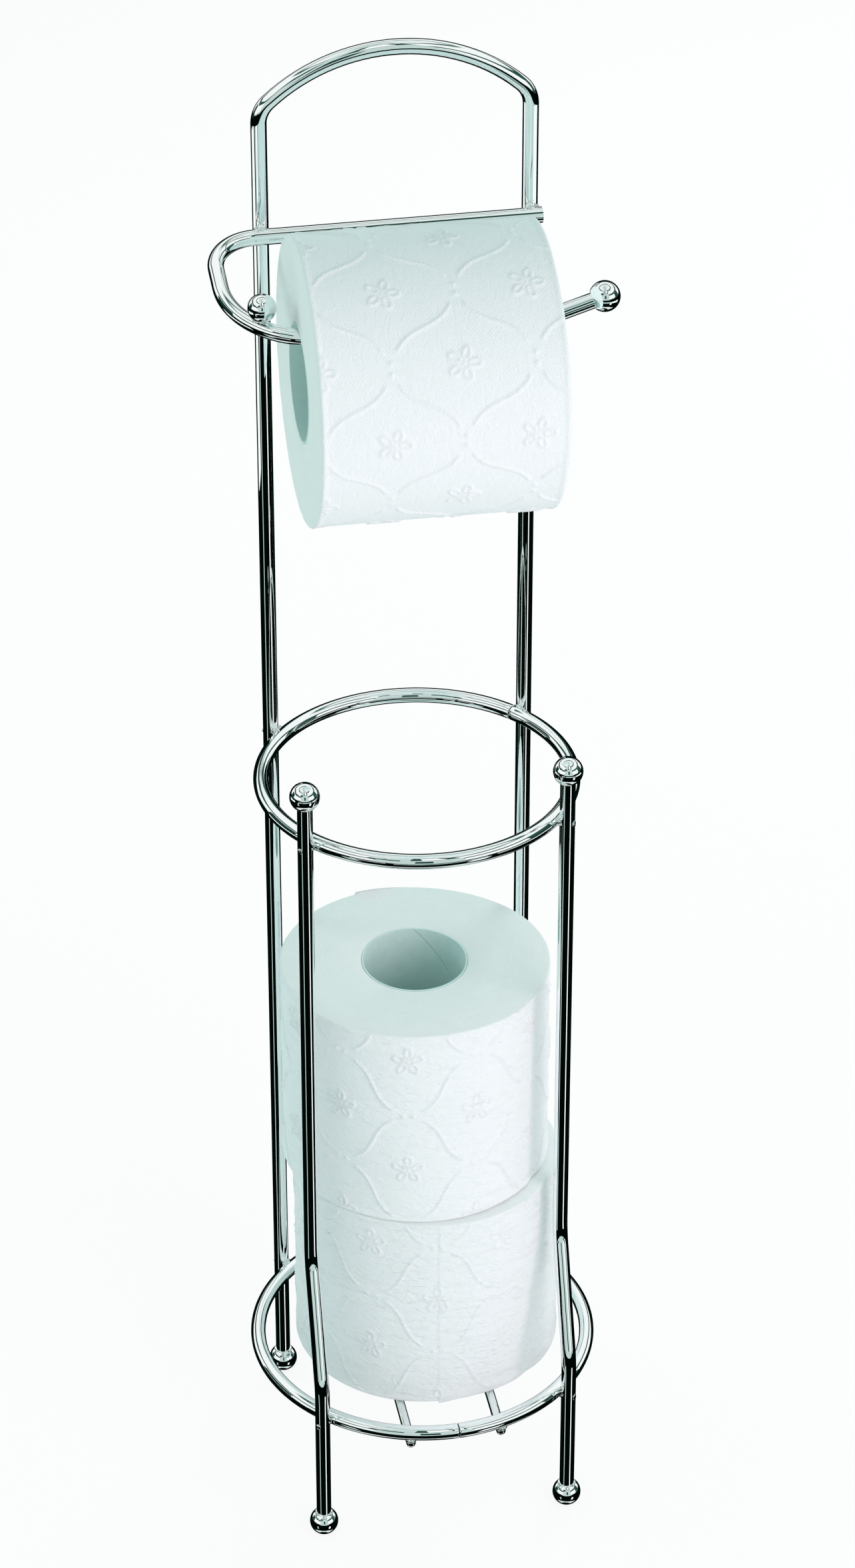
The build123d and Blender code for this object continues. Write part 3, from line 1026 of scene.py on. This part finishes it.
def make_paper(name, material, lying, look):
    """The wound paper of one roll, which is also a body by that name."""
    start, turn, inner_r, width = roll_frame(name, lying)
    bm = bmesh.new()
    wound_section(bm, inner_r, ROLL_R, width)
    spin_in_sectors(bm, ROLL_SECTORS, SECTOR_STEPS)
    smooth_faces(bm)
    mesh = new_mesh(f"{name}_wound_paper", bm)
    points = read_values(mesh.vertices, "co", 3)
    lay_sheet_map(mesh, points, inner_r, ROLL_R, width)
    points = press_oval(shape_roll(points, ROLL_R, width, look), inner_r, ROLL_R, look["oval"])
    mesh.vertices.foreach_set("co", points.ravel())
    mesh.transform(Matrix.Translation(start) @ turn)
    mesh.materials.append(material)
    mesh.materials.append(make_cut_paper(f"{name} cut paper", start, lying))
    piece = new_object(mesh)
    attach(piece, name)
    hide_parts(f"{name}_paper")
    print(piece.name, len(mesh.polygons), "faces")


HANGING_LOOK = {
    "tail": math.radians(60), "wound": 1, "bulge": 0.4, "relief": 1.0, "oval": 0.0,
    "crease": math.radians(150), "crease_slant": 0.2, "curl": 0.0006, "curl_span": math.radians(8),
    "flat": 0.0, "flat_at": 0.0,
}
LOWER_LOOK = {
    "tail": math.radians(-95), "wound": 1, "bulge": 1.9, "relief": 0.85, "oval": 0.0,
    "crease": math.radians(-43), "crease_slant": 0.25, "curl": -0.0015, "curl_span": math.radians(9),
    "flat": 0.0012, "flat_at": math.radians(60),
}
UPPER_LOOK = {
    "tail": math.radians(107), "wound": -1, "bulge": 3.1, "relief": 1.1, "oval": 0.045,
    "crease": math.radians(-36), "crease_slant": 0.05, "curl": 0.0014, "curl_span": math.radians(26),
    "flat": 0.0022, "flat_at": math.radians(88),
}
make_paper("hanging_roll", ribbed_paper, True, HANGING_LOOK)
make_paper("lower_spare", rumpled_paper, False, LOWER_LOOK)
make_paper("upper_spare", soft_paper, False, UPPER_LOOK)

# %% [markdown]
# ## The card cores
# A core is a strip of grey card wound in a screw, with its edges butted: that is why every core
# has one slanting line inside. The strip is drawn as a straight edge, spun with a rise to a
# helix one strip wide, and cut flush at both ends.

# %% Make the cores
CARD_COLOUR = (0.67, 0.83, 0.81)
CARD_DEEP = (0.58, 0.73, 0.715)
CARD_REACH = 0.0001
PULP_SCALE = 260.0
CORE_PITCH = 0.15
CORE_SEAM = 0.00045
CORE_WALL = 0.0007
CORE_STEPS = 96
STRIP_CUTS = 23


def make_card():
    """Grey board: mottled pulp with darker flecks."""
    finish = {"Roughness": 0.85, "Specular IOR Level": 0.25}
    material, tree, shader = new_material("grey card", finish)
    place = node_in(tree, "ShaderNodeTexCoord")
    pulp = noise_in(tree, place.outputs["Object"], PULP_SCALE, 5.0)
    colour = mixed_colour(tree, pulp.outputs[0], CARD_DEEP, CARD_COLOUR)
    fill_in(tree, shader, {"Base Color": colour})
    add_bump(tree, shader, pulp.outputs[0], CARD_REACH)
    return material


grey_card = make_card()


def make_core(name, lying, seam_angle, oval=0.0):
    """The card core of one roll. The seam is at its angle where it leaves the far end."""
    start, turn, outer_r, width = roll_frame(name, lying)
    bm = bmesh.new()
    turns = width / CORE_PITCH + 2
    begin = seam_angle - math.tau * (width / CORE_PITCH + 1)
    strip = CORE_PITCH - CORE_SEAM
    low = bm.verts.new((outer_r * math.cos(begin), outer_r * math.sin(begin), -CORE_PITCH))
    made = bmesh.ops.extrude_vert_indiv(bm, verts=[low])
    bmesh.ops.translate(bm, verts=made["verts"], vec=(0, 0, strip))
    bmesh.ops.subdivide_edges(bm, edges=made["edges"], cuts=STRIP_CUTS)
    steps = round(CORE_STEPS * turns)
    spin(bm, whole(bm), math.tau * turns, steps, dvec=(0, 0, CORE_PITCH * turns / steps))
    for height, side in ((0.0, -1), (width, 1)):
        bmesh.ops.bisect_plane(
            bm, geom=whole(bm), dist=MERGE_DISTANCE / 4, plane_co=(0, 0, height),
            plane_no=(0, 0, side), clear_outer=True,
        )
    bmesh.ops.recalc_face_normals(bm, faces=bm.faces)
    bmesh.ops.solidify(bm, geom=bm.faces[:], thickness=CORE_WALL)
    press = Matrix.Diagonal((1.0 - oval, 1.0, 1.0, 1.0))
    bmesh.ops.transform(bm, matrix=Matrix.Translation(start) @ turn @ press, verts=bm.verts)
    finish_piece(bm, f"{name}_card_core", grey_card, name, "card", f"{name}_core")


make_core("hanging_roll", True, math.radians(80))
make_core("lower_spare", False, math.radians(200))
make_core("upper_spare", False, math.radians(80), UPPER_LOOK["oval"])

# %% [markdown]
# ## The floor
# The stand is photographed on white. The floor shows as white to the camera and still takes the
# stand's shadow, because only part of its brightness is its own. Polished metal doesn't see this
# floor: in the photograph the upright tubes, which mirror what lies around the feet, are nearly
# black, so something dark is drawn for them there instead.

# %% Make the floor
FLOOR_HALF = 6.0
FLOOR_GLOW = 0.88
FLOOR_COLOUR = (0.93, 0.93, 0.93, 1.0)


def link_mesh(name, bm):
    """Puts a bmesh in the scene as an object of the same name."""
    stand_in = new_object(new_mesh(name, bm))
    return stand_in


def mixed_shader(tree, factor, first, second):
    """A shader between two, by a factor."""
    return node_in(tree, "ShaderNodeMixShader", {0: factor, 1: first, 2: second}).outputs[0]


def make_floor():
    """A pale floor that glows for the camera and is plain for all other light."""
    bm = bmesh.new()
    bmesh.ops.create_grid(bm, x_segments=1, y_segments=1, size=FLOOR_HALF)
    floor = link_mesh("studio_floor", bm)
    finish = {"Base Color": FLOOR_COLOUR, "Roughness": 1.0, "Specular IOR Level": 0.0}
    material, tree, shader = new_material("studio floor", finish)
    glow = node_in(tree, "ShaderNodeEmission")
    rays = node_in(tree, "ShaderNodeLightPath")
    seen = maths(tree, "MAXIMUM", rays.outputs["Is Camera Ray"], rays.outputs["Is Transmission Ray"])
    share = maths(tree, "MULTIPLY", seen, FLOOR_GLOW)
    surface = mixed_shader(tree, share, shader.outputs[0], glow.outputs[0])
    fill_in(tree, tree.nodes["Material Output"], {"Surface": surface})
    floor.data.materials.append(material)
    floor.visible_glossy = False


make_floor()

# %% [markdown]
# ## What the chrome mirrors
# The streaks on the tubes are a picture of the studio, so the studio is drawn for them. An upright
# tube seen from above mirrors only what is below the horizon: darkness round the feet, and beyond
# it a pale room floor with dark gaps. This room floor is a flat ring, cut into sectors, that only
# polished surfaces can see. Its sectors and the gaps between them become the long vertical
# streaks of the upper legs.

# %% Make the room floor
ROOM_OUTER = 1.5
ROOM_Z = -0.01
SECTOR_STEP = 3.0
WHITE_LIGHT = (0.95, 1.0, 0.985)
TEAL_LIGHT = (0.50, 0.68, 0.65)


def make_glow(name, colour):
    """A light surface of one colour."""
    material = bpy.data.materials.new(name)
    material.use_nodes = True
    tree = material.node_tree
    tree.nodes.clear()
    glow = node_in(tree, "ShaderNodeEmission", {"Color": (*colour, 1.0)})
    node_in(tree, "ShaderNodeOutputMaterial", {"Surface": glow.outputs[0]})
    return material


def only_in_mirrors(card):
    """Hides a card from everything but polished surfaces."""
    card.visible_camera = False
    card.visible_diffuse = False
    card.visible_shadow = False
    card.visible_transmission = False


white_glow = make_glow("white card", WHITE_LIGHT)
teal_glow = make_glow("teal card", TEAL_LIGHT)


def make_sector(name, inner, from_angle, to_angle, material):
    """A flat sector of the room floor, with angles in degrees from +X."""
    bm = bmesh.new()
    way = level(math.radians(from_angle))
    first = bm.verts.new(way * inner + Vector((0, 0, ROOM_Z)))
    made = bmesh.ops.extrude_vert_indiv(bm, verts=[first])
    made["verts"][0].co = way * ROOM_OUTER + Vector((0, 0, ROOM_Z))
    wide = to_angle - from_angle
    spin(bm, whole(bm), math.radians(wide), max(2, round(abs(wide) / SECTOR_STEP)))
    sector = link_mesh(name, bm)
    sector.data.materials.append(material)
    only_in_mirrors(sector)


# Each row is a sector's middle and width in degrees from the camera's side, how near it comes
# to the stand, and its light.
ROOM_SECTORS = (
    (-92, 44, 0.95, white_glow),
    (-32, 24, 1.15, white_glow),
    (16, 62, 1.05, teal_glow),
    (79, 50, 1.00, white_glow),
)
CAMERA_SIDE = -math.degrees(CAMERA_TURN) - 90
for index, (middle, wide, near, glow) in enumerate(ROOM_SECTORS):
    angle = CAMERA_SIDE + middle
    make_sector(f"room_floor_{index}", near, angle - wide / 2, angle + wide / 2, glow)
print(len(ROOM_SECTORS), "sectors")

# %% [markdown]
# ## The light
# One large soft lamp stands low at the front right, and two weak ones behind touch the edges of
# the rolls. The world is cool, so what the lamps don't reach turns a little green, as in the
# photograph. Polished surfaces get their own world: bright wall and ceiling with dark bands
# between them, and a window, which is the patch of light on every ball. Below the horizon it is
# black but for a pale ring far down and two light strips, which draw one thin white line and one
# fainter line down every upright tube. A dark screen stands behind: the edge of a shiny thing
# mirrors what is straight behind it, so the screen gives every tube and ball its dark outline.

# %% Make the lamps and the world
def make_lamp(name, place, size, power, colour):
    """A square soft lamp."""
    lamp = bpy.data.objects.new(name, bpy.data.lights.new(name, "AREA"))
    bpy.context.collection.objects.link(lamp)
    lamp.data.shape = "SQUARE"
    lamp.data.size = size
    lamp.data.energy = power
    lamp.data.color = colour
    lamp.location = place
    lamp.rotation_euler = (LAMP_AIM - Vector(place)).to_track_quat("-Z", "Y").to_euler()
    lamp.visible_camera = False
    lamp.visible_glossy = False


# Each lamp is its name, place, size, power and colour.
LAMPS = (
    ("key lamp", (0.82, -1.45, 0.82), 1.2, 15.5, (1.0, 0.76, 0.84)),
    ("right edge lamp", (1.0, 1.3, 0.85), 0.6, 7.0, (0.86, 1.0, 1.0)),
    ("left edge lamp", (-1.3, 0.8, 0.80), 0.6, 4.0, (0.86, 1.0, 1.0)),
)
LAMP_AIM = Vector((0.0, 0.0, 0.3))
for lamp_row in LAMPS:
    make_lamp(*lamp_row)

# Each stop of the bands is a height on the unit sphere, from -1 below to 1 above, and a brightness.
BANDS = (
    (-1.0, 0.002), (-0.965, 0.002), (-0.955, 0.8), (-0.87, 0.8), (-0.85, 0.002), (-0.06, 0.002),
    (-0.03, 0.5), (0.02, 0.95), (0.36, 1.0), (0.39, 0.08), (0.51, 0.08), (0.54, 0.90), (0.62, 0.95),
    (0.80, 0.95), (0.835, 0.14), (0.865, 0.14), (0.90, 0.95), (0.97, 0.80), (1.0, 0.60),
)
BAND_CAST = (1.45, 1.0, 1.08)
BAND_WAVER = 0.08
WAVER_SCALE = 2.4
# A patch of directions is its middle and half width to the side, its middle and half height, and
# its brightness. The first is a grey wall, and then come a dark frame and the white window in it.
# The other four are dark things that stand before the walls.
PATCHES = (
    (2.0, 30.0, 30.0, 36.0, 0.66),
    (14.0, 19.0, 57.0, 15.0, 0.05),
    (14.0, 10.0, 57.0, 12.0, 1.0),
    (5.0, 6.0, 16.0, 12.0, 0.05),
    (-24.0, 12.0, 37.0, 6.0, 0.05),
    (-100.0, 14.0, 5.0, 14.0, 0.04),
    (95.0, 16.0, 8.0, 14.0, 0.06),
)
# Each light strip is its middle and half width to the side, and its brightness.
STRIPS = ((45, 7.0, 1.0), (-47, 5.0, 0.60))
STRIP_RISE = -33.0
STRIP_HALF_HEIGHT = 9.0
# The dark screen behind the stand is a cone about the camera's own view, as wide as its half angle.
SCREEN_WAY = (-math.cos(CAMERA_DOWN), 0.0, -math.sin(CAMERA_DOWN))
SCREEN_HALF_ANGLE = math.radians(56.0)
SCREEN_BRIGHT = 0.004
MATT_WORLD = (0.57, 0.735, 0.70)
MATT_STRENGTH = 0.97


def inside_range(tree, angle, middle, half_width):
    """1 where an angle in degrees is near a middle value, and 0 elsewhere."""
    away = maths(tree, "ABSOLUTE", maths(tree, "SUBTRACT", angle, middle))
    return maths(tree, "LESS_THAN", away, half_width)


def inside_patch(tree, side, rise, patch):
    """1 inside a patch of directions, and 0 elsewhere."""
    across = inside_range(tree, side, *patch[:2])
    up = inside_range(tree, rise, *patch[2:])
    return maths(tree, "MULTIPLY", across, up)


def with_cast(bright):
    """A grey of some brightness, with the cast of the bands."""
    return (*(bright**power for power in BAND_CAST), 1.0)


def painted_over(tree, under, mask, bright, blend="MIX"):
    """Lays a brightness over a colour where a mask is 1."""
    inputs = {"Factor": mask, "A": under, "B": with_cast(bright)}
    mix = node_in(tree, "ShaderNodeMix", inputs, data_type="RGBA", blend_type=blend)
    return mix.outputs["Result"]


def make_mirror_world(tree):
    """Colour that polished surfaces see in each direction."""
    place = node_in(tree, "ShaderNodeTexCoord").outputs["Generated"]
    inputs = {"Vector": place, "Angle": -math.radians(CAMERA_SIDE)}
    turned = node_in(tree, "ShaderNodeVectorRotate", inputs, rotation_type="Z_AXIS").outputs[0]
    split = node_in(tree, "ShaderNodeSeparateXYZ", {"Vector": turned})
    ramp = node_in(tree, "ShaderNodeValToRGB")
    while len(ramp.color_ramp.elements) < len(BANDS):
        ramp.color_ramp.elements.new(0.5)
    for element, (height, bright) in zip(ramp.color_ramp.elements, BANDS):
        element.position = (height + 1) / 2
        element.color = with_cast(bright)
    waver = noise_in(tree, turned, WAVER_SCALE, 1.0)
    lift = maths(tree, "MULTIPLY_ADD", waver.outputs[0], BAND_WAVER, 0.5 - BAND_WAVER / 2)
    fill_in(tree, ramp, {0: maths(tree, "MULTIPLY_ADD", split.outputs["Z"], 0.5, lift)})
    radians = maths(tree, "ARCTAN2", split.outputs["Y"], split.outputs["X"])
    side = maths(tree, "MULTIPLY", radians, math.degrees(1))
    rise = maths(tree, "MULTIPLY", maths(tree, "ARCSINE", split.outputs["Z"]), math.degrees(1))
    colour = ramp.outputs["Color"]
    for middle, half_width, bright in STRIPS:
        strip = inside_patch(tree, side, rise, (middle, half_width, STRIP_RISE, STRIP_HALF_HEIGHT))
        colour = painted_over(tree, colour, strip, bright, "ADD")
    for patch in PATCHES:
        colour = painted_over(tree, colour, inside_patch(tree, side, rise, patch[:4]), patch[4])
    inputs = {0: turned, 1: SCREEN_WAY}
    along = node_in(tree, "ShaderNodeVectorMath", inputs, operation="DOT_PRODUCT")
    behind = maths(tree, "GREATER_THAN", along.outputs["Value"], math.cos(SCREEN_HALF_ANGLE))
    return painted_over(tree, colour, behind, SCREEN_BRIGHT)


def make_world():
    """White to the camera, cool and even to matt surfaces, banded to polished ones."""
    world = bpy.data.worlds.new("studio")
    bpy.context.scene.world = world
    world.use_nodes = True
    tree = world.node_tree
    tree.nodes.clear()
    inputs = {"Color": (*MATT_WORLD, 1.0), "Strength": MATT_STRENGTH}
    matt = node_in(tree, "ShaderNodeBackground", inputs)
    mirror = node_in(tree, "ShaderNodeBackground", {"Color": make_mirror_world(tree)})
    seen = node_in(tree, "ShaderNodeBackground", {"Color": (1.0, 1.0, 1.0, 1.0)})
    rays = node_in(tree, "ShaderNodeLightPath").outputs
    hidden = mixed_shader(tree, rays["Is Glossy Ray"], matt.outputs[0], mirror.outputs[0])
    surface = mixed_shader(tree, rays["Is Camera Ray"], hidden, seen.outputs[0])
    node_in(tree, "ShaderNodeOutputWorld", {"Surface": surface})


make_world()
